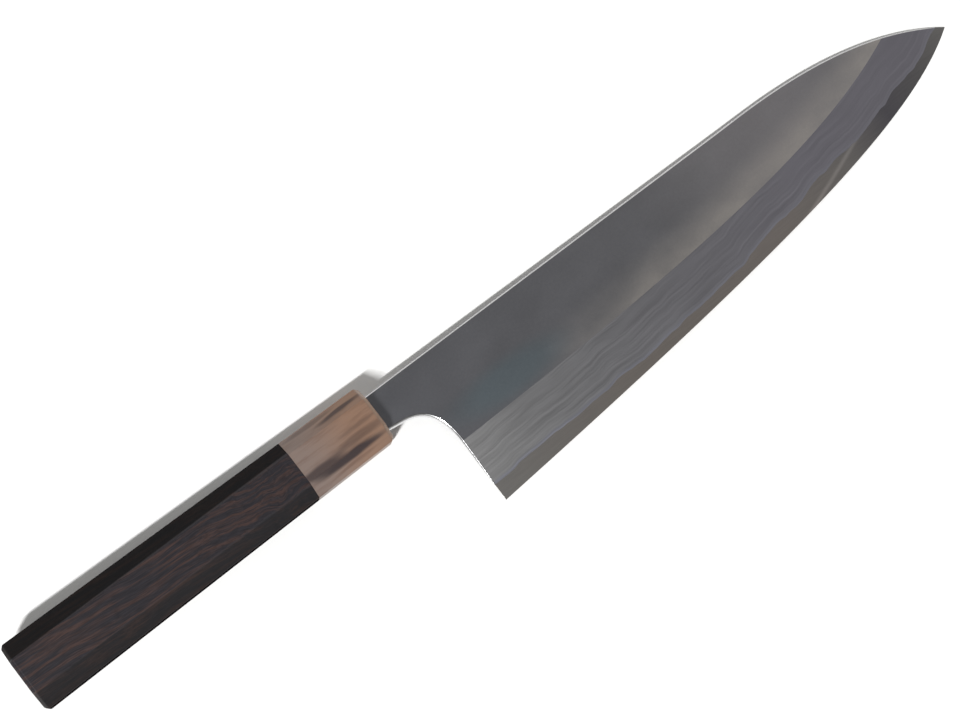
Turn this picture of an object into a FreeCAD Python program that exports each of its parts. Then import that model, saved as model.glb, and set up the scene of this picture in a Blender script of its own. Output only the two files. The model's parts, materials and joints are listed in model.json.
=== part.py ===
import FreeCAD, Part
import math
import os

# A chef knife with a layered blade and an eight-sided handle of ebony and horn.
#
# Everything is drawn first in the knife's own directions: X runs along the handle's axis to the
# tip, Y points to the spine and Z points out of the blade's right face, with zero where the
# handle's axis meets the ferrule's front face.  At the end the whole knife is laid on its left
# side, as it lies on a table, with the origin under the middle of its bounding box.
#
# All sizes are in millimetres and all angles in degrees.

Vec = FreeCAD.Vector

# ---- blade outline -------------------------------------------------------------------------
blade_length = 211.0          # heel corner to tip
neck_length = 16.2            # ferrule face to heel
spine_height = 6.15           # spine above the handle's axis
heel_height = 51.8            # spine to heel corner
tip_drop = 17.08               # spine to tip
neck_under = 6.6              # underside of the neck below the axis, at the ferrule

edge_heel_angle = 4.35         # rise of the edge at the heel
edge_tip_angle = 33.3         # rise of the edge at the tip
edge_heel_pull = 0.577        # how long the edge keeps its heel direction, per blade length
edge_tip_pull = 0.15         # the same at the tip

spine_curve_length = 82.0     # length of the spine that bends down to the tip
spine_tip_angle = 35.5        # fall of the spine at the tip
spine_start_pull = 0.16       # per spine_curve_length
spine_tip_pull = 0.40

choil_start = 5.0             # ferrule face to where the neck's underside starts to bend
choil_fall = 7.0              # how far the neck's underside slopes down, in degrees
choil_height = 16.3           # height of the bend from the neck down to the heel's back
choil_neck_pull = 0.5        # per height of the bend
choil_heel_pull = 0.64

# ---- blade faces ---------------------------------------------------------------------------
bevel_width = 22.6            # edge to bevel line, at the heel
bevel_heel_angle = 0.7        # rise of the bevel line at the heel
bevel_end_angle = 31.8        # rise of the bevel line where it has run out over the spine
bevel_heel_pull = 0.667       # per blade length
bevel_end_pull = 0.18
bevel_end_over = 20.5         # the run-out point above the tip
bevel_end_past = 1.6          # and past it
neck_thickness = 3.4          # at the spine, at the ferrule
tip_thickness = 1.25          # of the flat sides, at the tip, on the spine's level
side_thinning = 0.6           # less thickness at the bevel line than at the spine, at the heel
edge_thickness = 0.2
core_heel_thickness = 0.82    # hard core layer, at the ferrule
core_tip_thickness = 0.44     # and at the tip
spine_rounding = 0.2          # radius on the spine's two edges, in the claddings only

# ---- hidden tang ---------------------------------------------------------------------------
tang_length = 78.0
tang_root_height = 8.6
tang_end_height = 6.4
tang_root_thickness = 3.3
tang_end_thickness = 2.5

# ---- handle --------------------------------------------------------------------------------
handle_length = 133.35
ferrule_length = 29.65
butt_height = 23.85            # spine side to edge side
butt_thickness = 21.2         # left side to right side
butt_side_flat = 11.8         # height of the left and right flats
front_height = 20.1
front_thickness = 18.0
front_side_flat = 10.6
butt_chamfer = 1.1
front_chamfer = 1.2
mouth_wall = 3.5              # solid horn in front of the dowel
dowel_diameter = 12.0
dowel_length = 84.0

# ---- fits ----------------------------------------------------------------------------------
mouth_gap = 0.8               # horn to neck, filled by the seal
seal_recess = 0.3             # the seal's face behind the ferrule's face
glue_gap = 0.05               # dowel to bore, all round
dowel_end_gap = 1.0           # dowel to the bottom of its bore
bedding_gap = 0.45            # tang to the dowel's slot
shoulder_gap = 0.2            # the neck's shoulder to the dowel's front face
neck_ease = 0.1               # each side of the neck is thinner by this inside the mouth

# ---- how it lies ---------------------------------------------------------------------------
belly_touch = 0.93            # where along the edge curve its belly touches the table

# ---- worked out ----------------------------------------------------------------------------
heel_y = spine_height - heel_height
tip_y = spine_height - tip_drop
tip_x = neck_length + math.sqrt(blade_length ** 2 - (tip_y - heel_y) ** 2)
bevel_heel_y = heel_y + bevel_width
shoulder_x = shoulder_gap - mouth_wall
dowel_end_x = -mouth_wall - dowel_length
tang_end_x = -mouth_wall - tang_length


def direction(angle):
    """Unit vector in the blade's plane at an angle from the handle's axis."""
    turn = math.radians(angle)
    return Vec(math.cos(turn), math.sin(turn), 0)


def curve_poles(start, end, start_angle, end_angle, start_reach, end_reach):
    """Four poles of a curve that leaves and arrives in given directions."""
    return [
        start,
        start + direction(start_angle) * start_reach,
        end - direction(end_angle) * end_reach,
        end,
    ]


def bezier(poles):
    curve = Part.BezierCurve()
    curve.setPoles(poles)
    return curve


def edge_poles():
    """The cutting edge, heel to tip."""
    return curve_poles(
        Vec(neck_length, heel_y, 0), Vec(tip_x, tip_y, 0), edge_heel_angle, edge_tip_angle,
        edge_heel_pull * blade_length, edge_tip_pull * blade_length)


def spine_poles():
    """The bent end of the spine, back to tip."""
    return curve_poles(
        Vec(tip_x - spine_curve_length, spine_height, 0), Vec(tip_x, tip_y, 0), 0,
        -spine_tip_angle, spine_start_pull * spine_curve_length,
        spine_tip_pull * spine_curve_length)


def bevel_line_poles():
    """The line where the flat side meets the bevel, from the heel until it has passed over the
    spine near the tip."""
    end = Vec(tip_x + bevel_end_past, tip_y + bevel_end_over, 0)
    return curve_poles(
        Vec(neck_length, bevel_heel_y, 0), end, bevel_heel_angle, bevel_end_angle,
        bevel_heel_pull * blade_length, bevel_end_pull * blade_length)


def choil_poles():
    """The bend from the neck's underside down to the back of the heel."""
    start = Vec(choil_start, -neck_under - choil_start * math.tan(math.radians(choil_fall)), 0)
    end = Vec(neck_length, start.y - choil_height, 0)
    return curve_poles(
        start, end, -choil_fall, -90, choil_neck_pull * choil_height,
        choil_heel_pull * choil_height)


def half_thickness(x, y):
    """Half the thickness between the blade's two flat sides."""
    taper = (neck_thickness - tip_thickness) / tip_x
    thinning = side_thinning / (spine_height - bevel_heel_y)
    return (neck_thickness - taper * x - thinning * (spine_height - y)) / 2


def half_core(x, y):
    """Half the thickness of the hard core layer."""
    taper = (core_heel_thickness - core_tip_thickness) / tip_x
    return (core_heel_thickness - taper * x) / 2


def flat_sided(rings):
    """Solid with flat ends and flat sides through a row of rings of corners."""
    faces = [Part.Face(Part.makePolygon(ring + ring[:1])) for ring in (rings[0], rings[-1])]
    for low, high in zip(rings, rings[1:]):
        for i in range(len(low)):
            j = (i + 1) % len(low)
            side = [low[i], low[j], high[j], high[i], low[i]]
            faces.append(Part.Face(Part.makePolygon(side)))
    solid = Part.Solid(Part.Shell(faces))
    if solid.Volume < 0:
        solid.reverse()
    return solid


def wedge(low_z, high_z):
    """Block round the whole blade and tang between two sloping planes, each given as a height
    over x and y."""
    margin = 10.0
    corners = [
        (tang_end_x - margin, heel_y - margin),
        (tip_x + margin, heel_y - margin),
        (tip_x + margin, spine_height + margin),
        (tang_end_x - margin, spine_height + margin),
    ]
    low = [Vec(x, y, low_z(x, y)) for x, y in corners]
    high = [Vec(x, y, high_z(x, y)) for x, y in corners]
    return flat_sided([low, high])


def blade_outline():
    """Closed outline of blade and neck, up to the shoulder behind the ferrule's mouth."""
    edge = edge_poles()
    spine = spine_poles()
    choil = choil_poles()
    back_top = Vec(shoulder_x, spine_height, 0)
    back_low = Vec(shoulder_x, -neck_under, 0)
    neck_low = Vec(0, -neck_under, 0)
    edges = [
        Part.makeLine(back_top, spine[0]),
        bezier(spine).toShape(),
        bezier(edge).toShape(),
        Part.makeLine(edge[0], choil[3]),
        bezier(choil).toShape(),
        Part.makeLine(choil[0], neck_low),
        Part.makeLine(neck_low, back_low),
        Part.makeLine(back_low, back_top),
    ]
    return Part.Wire(Part.__sortEdges__(edges))


def bevel_cutter(side):
    """What is ground away on one side: all that stands above the surface ruled from the bevel
    line to the edge, run on a little past both."""
    run_on = 0.15
    line = [Vec(p.x, p.y, half_thickness(p.x, p.y)) for p in bevel_line_poles()]
    edge = [Vec(p.x, p.y, edge_thickness / 2) for p in edge_poles()]
    high = [a + (a - b) * run_on for a, b in zip(line, edge)]
    low = [b + (b - a) * run_on for a, b in zip(line, edge)]
    ground = Part.makeRuledSurface(bezier(high).toShape(), bezier(low).toShape())
    behind = Part.makeRuledSurface(
        Part.makeLine(high[0] * 2 - high[1], high[0]), Part.makeLine(low[0] * 2 - low[1], low[0]))
    up = Vec(0, 0, 2 * neck_thickness)
    cutter = ground.extrude(up).fuse(behind.extrude(up))
    if side < 0:
        cutter = cutter.mirror(Vec(0, 0, 0), Vec(0, 0, 1))
    return cutter


def tang():
    """Hidden tang, thinner and lower towards its end."""
    rings = []
    for x, height, thickness in (
            (tang_end_x, tang_end_height, tang_end_thickness),
            (shoulder_x, tang_root_height, tang_root_thickness)):
        y = height / 2
        z = thickness / 2
        rings.append([Vec(x, -y, -z), Vec(x, y, -z), Vec(x, y, z), Vec(x, -y, z)])
    return flat_sided(rings)


def rounded_spine(plate):
    """The flat-sided blade with the two long edges of its spine rounded, as far as the claddings
    leave room at the thin tip."""
    cladding = half_thickness(tip_x, tip_y) - half_core(tip_x, tip_y)
    radius = min(spine_rounding, 0.9 * cladding)
    long_edges = []
    for edge in plate.Edges:
        middle = edge.valueAt((edge.FirstParameter + edge.LastParameter) / 2)
        on_side = abs(middle.z) > radius
        if on_side and middle.x > 0 and middle.y > spine_height - 0.1:
            long_edges.append(edge)
    return plate.makeFillet(radius, long_edges)


def half_neck(x, y):
    """Half the thickness of the neck inside the ferrule's mouth."""
    return half_thickness(x, y) - neck_ease


def blade():
    """All layers of the blade, with neck and tang, as one solid."""
    deep = Vec(0, 0, 2 * neck_thickness)
    plate = Part.Face(blade_outline()).extrude(deep)
    plate.translate(deep * -0.5)
    hidden = Part.makeBox(
        mouth_wall, heel_height, 2 * neck_thickness, Vec(-mouth_wall, heel_y, -neck_thickness))
    flat = plate.cut(hidden).common(wedge(lambda x, y: -half_thickness(x, y), half_thickness))
    neck = plate.common(hidden).common(wedge(lambda x, y: -half_neck(x, y), half_neck))
    ground = rounded_spine(flat).cut(bevel_cutter(1)).cut(bevel_cutter(-1))
    return ground.fuse([neck, tang()]).removeSplitter()


def layers(whole):
    """The blade split into its hard core and its two soft claddings."""
    far = 10 * neck_thickness
    core = whole.common(wedge(lambda x, y: -half_core(x, y), half_core))
    right = whole.common(wedge(half_core, lambda x, y: far))
    left = whole.common(wedge(lambda x, y: -far, lambda x, y: -half_core(x, y)))
    return core, right, left


def handle_size(x):
    """Height, thickness and side flat of the handle's section at x."""
    share = -x / handle_length
    return tuple(
        front + (butt - front) * share
        for front, butt in (
            (front_height, butt_height),
            (front_thickness, butt_thickness),
            (front_side_flat, butt_side_flat)))


def octagon(x, inset=0.0):
    """Corners of the handle's eight-sided section at x, moved in all round by inset.  The
    slanting sides stand at 45 degrees."""
    height, thickness, flat = handle_size(x)
    corner = (height - flat) / 2 - inset * (2 - math.sqrt(2))
    y = height / 2 - inset
    z = thickness / 2 - inset
    points = []
    for sy, sz in ((1, 1), (-1, 1), (-1, -1), (1, -1)):
        pair = [Vec(x, sy * y, sz * (z - corner)), Vec(x, sy * (y - corner), sz * z)]
        points += pair if sy * sz > 0 else pair[::-1]
    return points


def octagon_bar(stations):
    """Solid through eight-sided sections, given as (x, inset)."""
    return flat_sided([octagon(x, inset) for x, inset in stations])


def bore(front_x, end_x, radius):
    return Part.makeCylinder(radius, front_x - end_x, Vec(end_x, 0, 0), Vec(1, 0, 0))


def dowel_bore():
    """Blind hole for the dowel, through the ferrule and into the ebony."""
    return bore(-mouth_wall, dowel_end_x - dowel_end_gap, dowel_diameter / 2 + glue_gap)


def mouth_slot():
    """Slot in the ferrule's front wall round the neck."""
    top = spine_height + mouth_gap
    low = -neck_under - mouth_gap
    deep = neck_thickness + 2 * mouth_gap
    return Part.makeBox(mouth_wall, top - low, deep, Vec(-mouth_wall, low, -deep / 2))


def dowel_slot():
    """Slot in the dowel round the tang."""
    high = tang_root_height + 2 * bedding_gap
    deep = tang_root_thickness + 2 * bedding_gap
    run = tang_length + bedding_gap
    return Part.makeBox(run, high, deep, Vec(-mouth_wall - run, -high / 2, -deep / 2))


def horn_ferrule():
    bar = octagon_bar([(-ferrule_length, 0), (-front_chamfer, 0), (0, front_chamfer)])
    return bar.cut([dowel_bore(), mouth_slot()])


def ebony_handle():
    bar = octagon_bar([
        (-handle_length, butt_chamfer), (butt_chamfer - handle_length, 0), (-ferrule_length, 0)])
    return bar.cut(dowel_bore())


def dowel_half(side):
    """Half of the slotted dowel, split along the blade's plane."""
    radius = dowel_diameter / 2
    rod = bore(-mouth_wall, dowel_end_x, radius).cut(dowel_slot())
    low = 0 if side > 0 else -dowel_diameter
    half_space = Part.makeBox(
        dowel_length, 2 * dowel_diameter, dowel_diameter, Vec(dowel_end_x, -dowel_diameter, low))
    return rod.common(half_space)


def tang_bedding():
    return dowel_slot().cut(tang())


def mouth_seal(whole_blade):
    face = Part.makeBox(
        seal_recess, 2 * front_height, 2 * front_thickness,
        Vec(-seal_recess, -front_height, -front_thickness))
    return mouth_slot().cut([whole_blade, face])


def table_plane():
    """Three points that rest on the table: the ferrule's lower front ridge on the edge side, and
    two points of the edge near the tip."""
    _, thickness, flat = handle_size(-front_chamfer)
    ridge = Vec(-front_chamfer, -flat / 2, -thickness / 2)
    edge = bezier(edge_poles())
    down = Vec(0, 0, -edge_thickness / 2)
    return ridge, edge.value(belly_touch) + down, edge.value(1.0) + down


def lying():
    """Turn that brings the table's plane level."""
    ridge, belly, tip = table_plane()
    upward = (tip - ridge).cross(belly - ridge)
    if upward.z < 0:
        upward = upward * -1
    return FreeCAD.Rotation(upward, Vec(0, 0, 1))


def pieces():
    """All pieces by name, in the knife's own directions."""
    whole = blade()
    core, right, left = layers(whole)
    return {
        "core_steel": core,
        "cladding_right": right,
        "cladding_left": left,
        "horn_ferrule": horn_ferrule(),
        "ebony_handle": ebony_handle(),
        "dowel_right": dowel_half(1),
        "dowel_left": dowel_half(-1),
        "tang_bedding": tang_bedding(),
        "mouth_seal": mouth_seal(whole),
    }


def placement(shapes):
    """Where the knife's own directions and zero lie in the part's frame."""
    turned = Part.makeCompound([s.copy() for s in shapes])
    turned.Placement = FreeCAD.Placement(Vec(0, 0, 0), lying())
    box = turned.optimalBoundingBox(False)
    middle = Vec((box.XMin + box.XMax) / 2, (box.YMin + box.YMax) / 2, box.ZMin)
    return FreeCAD.Placement(middle * -1, lying())


def one_solid(shape):
    """The shape as a plain solid."""
    if len(shape.Solids) == 1:
        return shape.Solids[0]
    return shape


def main():
    os.makedirs("parts", exist_ok=True)
    made = pieces()
    place = placement(made.values())
    for name, shape in made.items():
        solid = one_solid(shape).copy()
        solid.Placement = place.multiply(solid.Placement)
        solid.exportStep("parts/" + name + ".step")


main()
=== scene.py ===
"""Looks of a chef knife: a layered blade, a horn ferrule and an ebony handle on a pale floor.

The knife is worked out in its own directions, in millimetres: X runs along the handle's axis to the
tip, Y points to the spine and Z out of the blade's right face, with zero where the axis meets the
ferrule's front face.  KnifeFrame turns these into the part's frame, in metres.
"""
import json
import logging
import math
from dataclasses import dataclass
from enum import Enum
from functools import partial
from typing import Any, Callable, Optional

import bpy
import numpy as np
from mathutils import Matrix, Vector
from mathutils.geometry import delaunay_2d_cdt


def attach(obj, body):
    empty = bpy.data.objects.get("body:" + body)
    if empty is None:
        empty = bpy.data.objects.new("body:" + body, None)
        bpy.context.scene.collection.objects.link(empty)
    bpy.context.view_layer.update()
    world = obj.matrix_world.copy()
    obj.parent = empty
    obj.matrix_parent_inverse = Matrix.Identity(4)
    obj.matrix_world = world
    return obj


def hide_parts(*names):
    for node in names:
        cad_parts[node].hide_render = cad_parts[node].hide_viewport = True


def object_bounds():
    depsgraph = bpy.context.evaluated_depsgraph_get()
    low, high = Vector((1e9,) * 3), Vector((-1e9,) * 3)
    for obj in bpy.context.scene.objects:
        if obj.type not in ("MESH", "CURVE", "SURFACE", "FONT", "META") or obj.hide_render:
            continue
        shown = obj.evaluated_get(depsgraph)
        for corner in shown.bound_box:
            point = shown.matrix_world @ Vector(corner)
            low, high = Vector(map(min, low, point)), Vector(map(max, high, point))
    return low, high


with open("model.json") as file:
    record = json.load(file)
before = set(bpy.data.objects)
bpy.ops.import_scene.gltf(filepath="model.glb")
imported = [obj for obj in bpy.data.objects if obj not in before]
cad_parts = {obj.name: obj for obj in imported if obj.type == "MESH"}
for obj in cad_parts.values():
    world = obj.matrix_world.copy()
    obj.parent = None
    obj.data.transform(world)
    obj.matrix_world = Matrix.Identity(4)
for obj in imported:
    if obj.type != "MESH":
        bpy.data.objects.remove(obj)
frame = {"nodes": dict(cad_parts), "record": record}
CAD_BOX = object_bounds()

Array = np.ndarray
Place = tuple[float, float, float]
Socket = bpy.types.NodeSocket
Tree = bpy.types.NodeTree
Add = Callable[..., Socket]
Inputs = dict[str, Any]
Tones = tuple[tuple[float, str], ...]

MM = 0.001
BODY = "root"
SMOOTH = {"interpolation_type": "SMOOTHSTEP"}
RGBA = {"data_type": "RGBA"}
LOG = logging.getLogger("chef_knife")


class Side(Enum):
    """The two faces of the blade."""

    RIGHT = 1
    LEFT = -1


class Band(Enum):
    """What part of the blade's face a small facet belongs to."""

    FLAT = 0
    BEVEL = 1
    RIM = 2
    CORE = 3
    HIDDEN = 4


def new_object(name: str, data: bpy.types.ID) -> bpy.types.Object:
    """Puts a new object with the given data into the scene."""
    thing = bpy.data.objects.new(name, data)
    bpy.context.scene.collection.objects.link(thing)
    return thing


# ---- colours and shader nodes --------------------------------------------------------------


def colour(code: str) -> tuple[float, float, float, float]:
    """Turns an sRGB hex colour, such as "#8e8f95", into a linear one with an alpha of one."""
    shares = [int(code[i:i + 2], 16) / 255 for i in (1, 3, 5)]
    line = [s / 12.92 if s <= 0.04045 else ((s + 0.055) / 1.055) ** 2.4 for s in shares]
    return (line[0], line[1], line[2], 1.0)


def feed(tree: Tree, socket: Socket, value: Any) -> None:
    """Links an output to an input, or sets the input to a value or a hex colour."""
    if isinstance(value, Socket):
        tree.links.new(value, socket)
    elif value is not None:
        socket.default_value = colour(value) if isinstance(value, str) else value


def add_node(tree: Tree, kind: str, *values: Any, out: Optional[str] = None,
             stops: tuple[tuple[float, Any], ...] = (), **named: Any) -> Socket:
    """Adds one node with its settings and links.

    Args:
        tree: the node tree that gets it.
        kind: Blender's name for the node type without "ShaderNode", then its operation if any.
        values: what feeds the inputs in use, in their order; None leaves one as it is.
        out: name of the output to give back, if not the first one in use.
        stops: places and hex colours or greys, for a colour ramp only.
        named: the node's own properties in lower case, and inputs by their capitalised names.

    Returns:
        The chosen output.
    """
    kind, *operation = kind.split()
    node = tree.nodes.new("ShaderNode" + kind)
    if operation:
        node.operation = operation[0]
    for name, value in named.items():
        if name[0].islower():
            setattr(node, name, value)
    for socket, value in zip([s for s in node.inputs if s.enabled], values):
        feed(tree, socket, value)
    for name, value in named.items():
        if name[0].isupper():
            feed(tree, node.inputs[name], value)
    while stops and len(node.color_ramp.elements) < len(stops):
        node.color_ramp.elements.new(0.5)
    for number, (place, tone) in enumerate(stops):
        element = node.color_ramp.elements[number]
        element.position = place
        element.color = colour(tone) if isinstance(tone, str) else (tone, tone, tone, 1.0)
    return node.outputs[out] if out else next(s for s in node.outputs if s.enabled)


def grains(add: Add, point: Socket, size: Place, detail: float, roughness: float = 0.5,
           **named: Any) -> Socket:
    """A noise whose grains have the given sizes in millimetres along X, Y and Z."""
    spread = add("Mapping", point, None, None, tuple(1 / s for s in size), vector_type="POINT")
    return add("TexNoise", spread, 1.0, detail, roughness, **named)


def blob(add: Add, point: Socket, centre: Place, reach: Place, full: float, strength: float
         ) -> Socket:
    """A soft ellipsoid, nothing outside and at full strength a given share of the way in."""
    shift = tuple(-c / r for c, r in zip(centre, reach))
    place = add("Mapping", point, shift, None, tuple(1 / r for r in reach), vector_type="POINT")
    fall = add("TexGradient", place, out="Fac", gradient_type="SPHERICAL")
    return add("MapRange", fall, 0.0, full, 0.0, strength, **SMOOTH)


@dataclass(frozen=True)
class KnifeFrame:
    """Turns the knife's own millimetres into the part's metres."""

    to_part: Matrix

    @classmethod
    def from_mounts(cls, blade: "BladeShape", handle: "HandleShape") -> "KnifeFrame":
        """Finds turn and shift from the record's two mounts, whose place on the knife is known.

        Args:
            blade: the blade's sizes.
            handle: the handle's sizes.

        Returns:
            The frame.
        """
        x = -(handle.ferrule_length + handle.handle_length) / 2
        narrowing = (handle.front[1] - handle.butt[1]) / handle.handle_length / 2
        on_blade = (95.0, -7.0)
        slope = blade.flat_slope
        known = {
            "handle_side": (Vector((x, 0.0, -handle.section(x)[1] / 2)),
                            Vector((-narrowing, 0.0, -1.0))),
            "blade_side": (Vector((*on_blade, blade.half_flat(np.array([on_blade]))[0])),
                           Vector((-slope[0], -slope[1], 1.0)))}
        seen = {mount["name"]: (Vector(mount["pos_m"]), Vector(mount["axis"]))
                for mount in frame["record"]["mounts"]}
        triads = []
        middles = []
        for place in (known, seen):
            (start, normal), (end, _) = place["handle_side"], place["blade_side"]
            along = (end - start).normalized()
            across = along.cross(normal).normalized()
            triads.append(Matrix((along, across, along.cross(across))).transposed())
            middles.append((start + end) * 0.5)
        turn = triads[1] @ triads[0].transposed()
        shift = middles[1] - turn @ (middles[0] * MM)
        scale = Matrix.Diagonal((MM, MM, MM, 1.0))
        return cls(Matrix.Translation(shift) @ turn.to_4x4() @ scale)

    def point(self, x: float, y: float, z: float) -> Vector:
        """A point of the knife in the part's frame."""
        return self.to_part @ Vector((x, y, z))

    def direction(self, x: float, y: float, z: float) -> Vector:
        """A direction of the knife in the part's frame."""
        return (self.to_part.to_3x3() @ Vector((x, y, z))).normalized()

    def coordinates(self, tree: Tree) -> Socket:
        """Gives a material the knife's own millimetres."""
        back = self.to_part.inverted()
        turn = (back.to_3x3() * MM).to_euler("XYZ")
        seen = add_node(tree, "TexCoord", out="Object")
        return add_node(tree, "Mapping", seen, back.to_translation(), turn,
                        (1 / MM, 1 / MM, 1 / MM), vector_type="POINT")


# ---- sizes of the blade --------------------------------------------------------------------


def poles(start: Any, end: Any, angles: tuple[float, float], reach: tuple[float, float]) -> Array:
    """Four poles of a curve that leaves and arrives in given directions.

    Args:
        start: first point.
        end: last point.
        angles: its first and last direction, in degrees.
        reach: how far it keeps its first and its last direction.

    Returns:
        The poles, one row each.
    """
    first, last = (np.array((math.cos(math.radians(a)), math.sin(math.radians(a))))
                   for a in angles)
    return np.array([start, start + first * reach[0], end - last * reach[1], end])


def bezier(curve: Array, shares: Array) -> Array:
    """Points of a cubic curve at the given shares of its parameter."""
    t = np.asarray(shares, float)[:, None]
    return ((1 - t) ** 3 * curve[0] + 3 * (1 - t) ** 2 * t * curve[1]
            + 3 * (1 - t) * t * t * curve[2] + t ** 3 * curve[3])


@dataclass(frozen=True)
class BladeShape:
    """Sizes of the blade and the heights that follow from them, in millimetres and degrees."""

    blade_length: float = 211.0
    neck_length: float = 16.2
    spine_height: float = 6.15
    heel_height: float = 51.8
    tip_drop: float = 17.08
    neck_under: float = 6.6
    spine_curve_length: float = 82.0
    choil_start: float = 5.0
    choil_fall: float = 7.0
    choil_height: float = 16.3
    bevel_width: float = 22.6
    neck_thickness: float = 3.4
    tip_thickness: float = 1.25
    side_thinning: float = 0.6
    edge_thickness: float = 0.2
    shoulder_x: float = -3.3
    tang_end_x: float = -81.5
    tang_root: tuple[float, float] = (8.6, 3.3)
    tang_end: tuple[float, float] = (6.4, 2.5)
    # width of the bare core along the edge, at even steps of strip_step from the heel
    strip_widths: tuple[float, ...] = (5.8, 5.7, 4.6, 4.5, 3.7, 3.4, 3.3, 3.6, 4.9, 5.0, 5.7, 5.1,
                                       5.0, 4.1, 3.3)
    strip_step: float = 14.8
    # hammered unevenness of the forge line: wave length and height
    strip_waves: tuple[tuple[float, float], ...] = ((31.0, 0.3), (14.3, 0.2), (7.1, 0.1),
                                                    (3.7, 0.04))

    @property
    def heel_y(self) -> float:
        """Height of the heel corner."""
        return self.spine_height - self.heel_height

    @property
    def tip(self) -> Array:
        """The tip."""
        y = self.spine_height - self.tip_drop
        x = self.neck_length + math.sqrt(self.blade_length ** 2 - (y - self.heel_y) ** 2)
        return np.array([x, y])

    @property
    def edge(self) -> Array:
        """Poles of the cutting edge, heel to tip."""
        return poles(np.array((self.neck_length, self.heel_y)), self.tip, (4.35, 33.3),
                     (0.577 * self.blade_length, 0.15 * self.blade_length))

    @property
    def spine(self) -> Array:
        """Poles of the bent end of the spine, back to tip."""
        run = self.spine_curve_length
        start = np.array((self.tip[0] - run, self.spine_height))
        return poles(start, self.tip, (0.0, -35.5), (0.16 * run, 0.40 * run))

    @property
    def bevel_line(self) -> Array:
        """Poles of the line between flat side and bevel, run out over the spine."""
        start = np.array((self.neck_length, self.heel_y + self.bevel_width))
        return poles(start, self.tip + (1.6, 20.5), (0.7, 31.8),
                     (0.667 * self.blade_length, 0.18 * self.blade_length))

    @property
    def choil(self) -> Array:
        """Poles of the bend from the neck's underside down to the heel's back."""
        tall = self.choil_height
        y = -self.neck_under - self.choil_start * math.tan(math.radians(self.choil_fall))
        return poles(np.array((self.choil_start, y)), np.array((self.neck_length, y - tall)),
                     (-self.choil_fall, -90.0), (0.5 * tall, 0.64 * tall))

    @property
    def flat_slope(self) -> Array:
        """How half the thickness between the flat sides changes along X and Y."""
        taper = (self.neck_thickness - self.tip_thickness) / self.tip[0]
        fall = self.side_thinning / (self.heel_height - self.bevel_width)
        return np.array([-taper, fall]) / 2

    def half_flat(self, at: Array) -> Array:
        """Half the thickness between the flat sides, or of the tang, at points of the plan."""
        thick = self.neck_thickness / 2 + (at - (0.0, self.spine_height)) @ self.flat_slope
        tang = np.interp(at[:, 0], (self.tang_end_x, self.shoulder_x),
                         (self.tang_end[1] / 2, self.tang_root[1] / 2))
        return np.where(at[:, 0] < self.shoulder_x + 0.01, tang, thick)

    def half_bevel(self, at: Array) -> Array:
        """Half the thickness at points where the bevel is ground, straight from line to edge."""
        steps = np.linspace(0.0, 1.0, 700)
        line = bezier(self.bevel_line, steps)
        rule = bezier(self.edge, steps) - line
        along = np.empty(len(at))
        for i, p in enumerate(at):
            off = p - line
            turn = rule[:, 1] * off[:, 0] - rule[:, 0] * off[:, 1]
            j = int(np.clip(np.searchsorted(turn, 0.0), 1, len(steps) - 1))
            gap = turn[j] - turn[j - 1]
            share = -turn[j - 1] / gap if abs(gap) > 1e-12 else 0.0
            along[i] = steps[j - 1] + min(max(share, 0.0), 1.0) * (steps[j] - steps[j - 1])
        line = bezier(self.bevel_line, along)
        rule = bezier(self.edge, along) - line
        across = ((at - line) * rule).sum(1) / (rule * rule).sum(1)
        return self.half_flat(line) * (1 - across) + self.edge_thickness / 2 * across

    def above(self, curve: Array, at: Array) -> Array:
        """How far points stand over a curve, towards the spine."""
        line = bezier(curve, np.linspace(0.0, 1.0, 400))
        return at[:, 1] - np.interp(at[:, 0], line[:, 0], line[:, 1])

    def forge_line(self, x: Array) -> Array:
        """Height of the line where the core comes out of the cladding, at each x."""
        dense = np.arange(-30.0, 260.0, 0.5)
        stations = self.neck_length + self.strip_step * np.arange(len(self.strip_widths))
        width = np.interp(dense, stations, self.strip_widths)
        width = np.convolve(width, np.hanning(25) / np.hanning(25).sum(), "same")
        for number, (length, height) in enumerate(self.strip_waves):
            turn = 2 * math.pi * (dense / length + 0.31 * number)
            width += height * np.sin(turn + 1.1 * np.sin(turn / 2.3)) * (0.6 + dense / 300)
        foot = np.stack([x, np.zeros(len(x))], 1)
        return np.interp(x, dense, width) - self.above(self.edge, foot)

    def distances(self, at: Array) -> Array:
        """How far points stand over the edge, the forge line and the bevel line, in columns."""
        return np.stack([self.above(self.edge, at), at[:, 1] - self.forge_line(at[:, 0]),
                         self.above(self.bevel_line, at)], 1)


@dataclass(frozen=True)
class RimSizes:
    """How wide the polished rounding is along the outline, in millimetres."""

    neck: float = 1.0
    choil: float = 0.8
    heel_top: float = 0.75
    heel_corner: float = 0.12
    spine_neck: float = 0.4
    spine_middle: float = 0.5
    tip: float = 0.15
    steps: int = 5
    # share of the cladding that the rounding may take
    depth: float = 0.9


# ---- the blade's mesh ----------------------------------------------------------------------


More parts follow.
